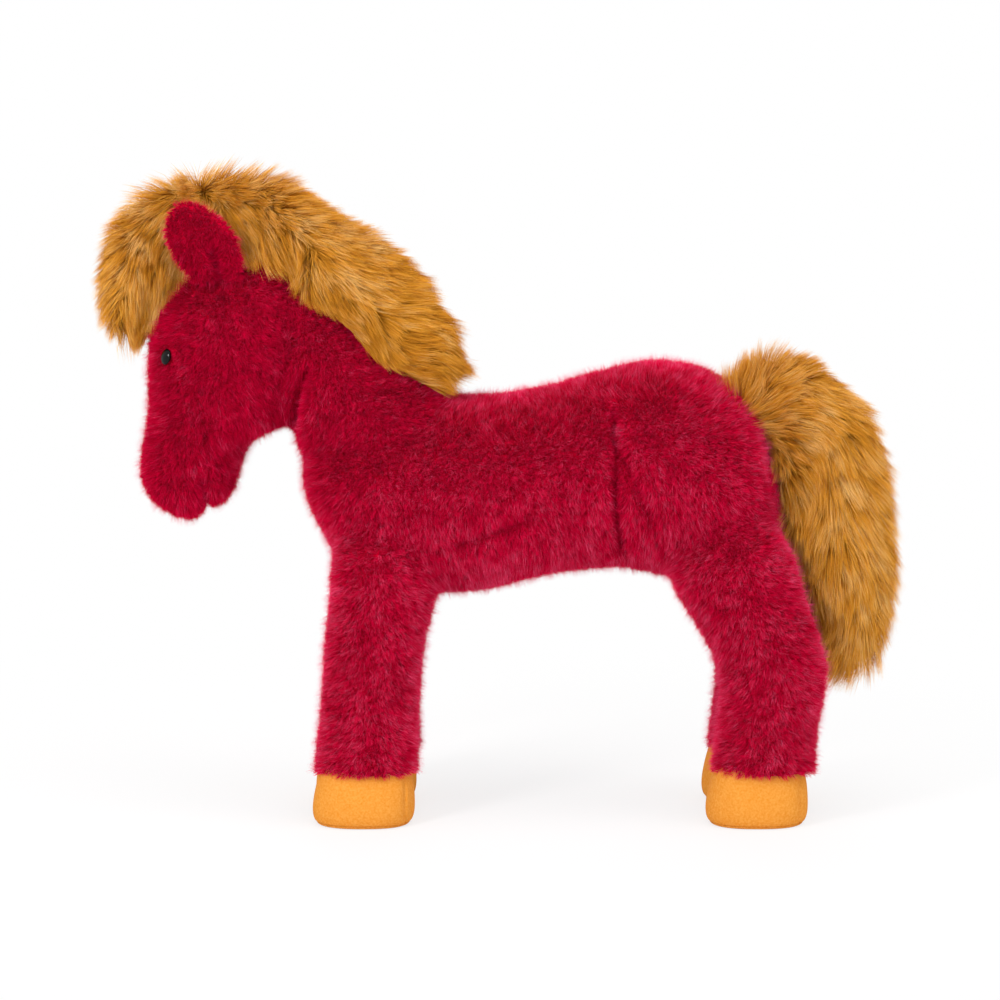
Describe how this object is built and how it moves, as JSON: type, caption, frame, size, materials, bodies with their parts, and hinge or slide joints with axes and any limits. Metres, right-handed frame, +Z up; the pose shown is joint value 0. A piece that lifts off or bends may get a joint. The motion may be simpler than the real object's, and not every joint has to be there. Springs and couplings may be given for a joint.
{
  "type": "plush horse",
  "caption": "Stuffed plush horse standing on padded legs, with a long-pile mane, forelock and tail, flopping ears, bead eyes and suede hoofs.",
  "frame": {"origin": "on the floor, under the middle of the toy", "axes": "+X towards the tail, the nose points along -X, +Y to the horse's right, +Z up"},
  "size_m": [0.336, 0.091, 0.2743],
  "materials": {
    "plush": "short pile plush, crimson",
    "long_pile": "long pile plush, gold",
    "suede": "napped suede cloth, orange",
    "eye_gloss": "polished, black",
    "fibrefill": "loose polyester fibre",
    "board": "plain stiffening board",
    "washer_plastic": "moulded, white"
  },
  "bodies": {
    "torso": {"torso_cover": "plush", "torso_stuffing": "fibrefill"},
    "neck": {"neck_cover": "plush", "neck_stuffing": "fibrefill", "mane": "long_pile"},
    "head": {"head_cover": "plush", "head_stuffing": "fibrefill", "forelock": "long_pile", "eye_left": "eye_gloss", "eye_right": "eye_gloss", "eye_washer_left": "washer_plastic", "eye_washer_right": "washer_plastic"},
    "ear_left": {"ear_back_left": "plush", "ear_lining_left": "plush"},
    "ear_right": {"ear_back_right": "plush", "ear_lining_right": "plush"},
    "tail": {"tail_cover": "long_pile", "tail_stuffing": "fibrefill"},
    "leg_front_left": {"leg_cover_front_left": "plush", "leg_stuffing_front_left": "fibrefill", "hoof_front_left": "suede", "sole_front_left": "suede", "sole_board_front_left": "board"},
    "leg_front_right": {"leg_cover_front_right": "plush", "leg_stuffing_front_right": "fibrefill", "hoof_front_right": "suede", "sole_front_right": "suede", "sole_board_front_right": "board"},
    "leg_hind_left": {"leg_cover_hind_left": "plush", "leg_stuffing_hind_left": "fibrefill", "hoof_hind_left": "suede", "sole_hind_left": "suede", "sole_board_hind_left": "board"},
    "leg_hind_right": {"leg_cover_hind_right": "plush", "leg_stuffing_hind_right": "fibrefill", "hoof_hind_right": "suede", "sole_hind_right": "suede", "sole_board_hind_right": "board"}
  },
  "joints": [
    {"name": "neck_nod", "type": "hinge", "parent": "torso", "child": "neck", "pos_m": [-0.0471, 0, 0.1608], "axis": [0, 1, 0], "range_deg": [-12, 10], "stiffness_Nm_per_rad": 1.5},
    {"name": "head_twist", "type": "hinge", "parent": "neck", "child": "head", "pos_m": [-0.084, 0, 0.2003], "axis": [1, 0, 0], "range_deg": [-15, 15], "stiffness_Nm_per_rad": 0.5},
    {"name": "ear_left_flop", "type": "hinge", "parent": "head", "child": "ear_left", "pos_m": [-0.1152, -0.017, 0.2282], "axis": [1, 0, 0], "range_deg": [-6, 24], "stiffness_Nm_per_rad": 0.01},
    {"name": "ear_right_flop", "type": "hinge", "parent": "head", "child": "ear_right", "pos_m": [-0.1152, 0.017, 0.2282], "axis": [-1, 0, 0], "range_deg": [-6, 24], "stiffness_Nm_per_rad": 0.01},
    {"name": "tail_lift", "type": "hinge", "parent": "torso", "child": "tail", "pos_m": [0.1057, 0, 0.17295], "axis": [0, -1, 0], "range_deg": [0, 30], "stiffness_Nm_per_rad": 0.06},
    {"name": "leg_front_left_swing", "type": "hinge", "parent": "torso", "child": "leg_front_left", "pos_m": [-0.0478, -0.024, 0.105], "axis": [0, 1, 0], "range_deg": [-12, 12], "stiffness_Nm_per_rad": 0.5},
    {"name": "leg_front_right_swing", "type": "hinge", "parent": "torso", "child": "leg_front_right", "pos_m": [-0.0478, 0.024, 0.105], "axis": [0, 1, 0], "range_deg": [-12, 12], "stiffness_Nm_per_rad": 0.5},
    {"name": "leg_hind_left_swing", "type": "hinge", "parent": "torso", "child": "leg_hind_left", "pos_m": [0.0992, -0.024, 0.105], "axis": [0, 1, 0], "range_deg": [-6, 12], "stiffness_Nm_per_rad": 0.5},
    {"name": "leg_hind_right_swing", "type": "hinge", "parent": "torso", "child": "leg_hind_right", "pos_m": [0.0992, 0.024, 0.105], "axis": [0, 1, 0], "range_deg": [-6, 12], "stiffness_Nm_per_rad": 0.5}
  ]
}
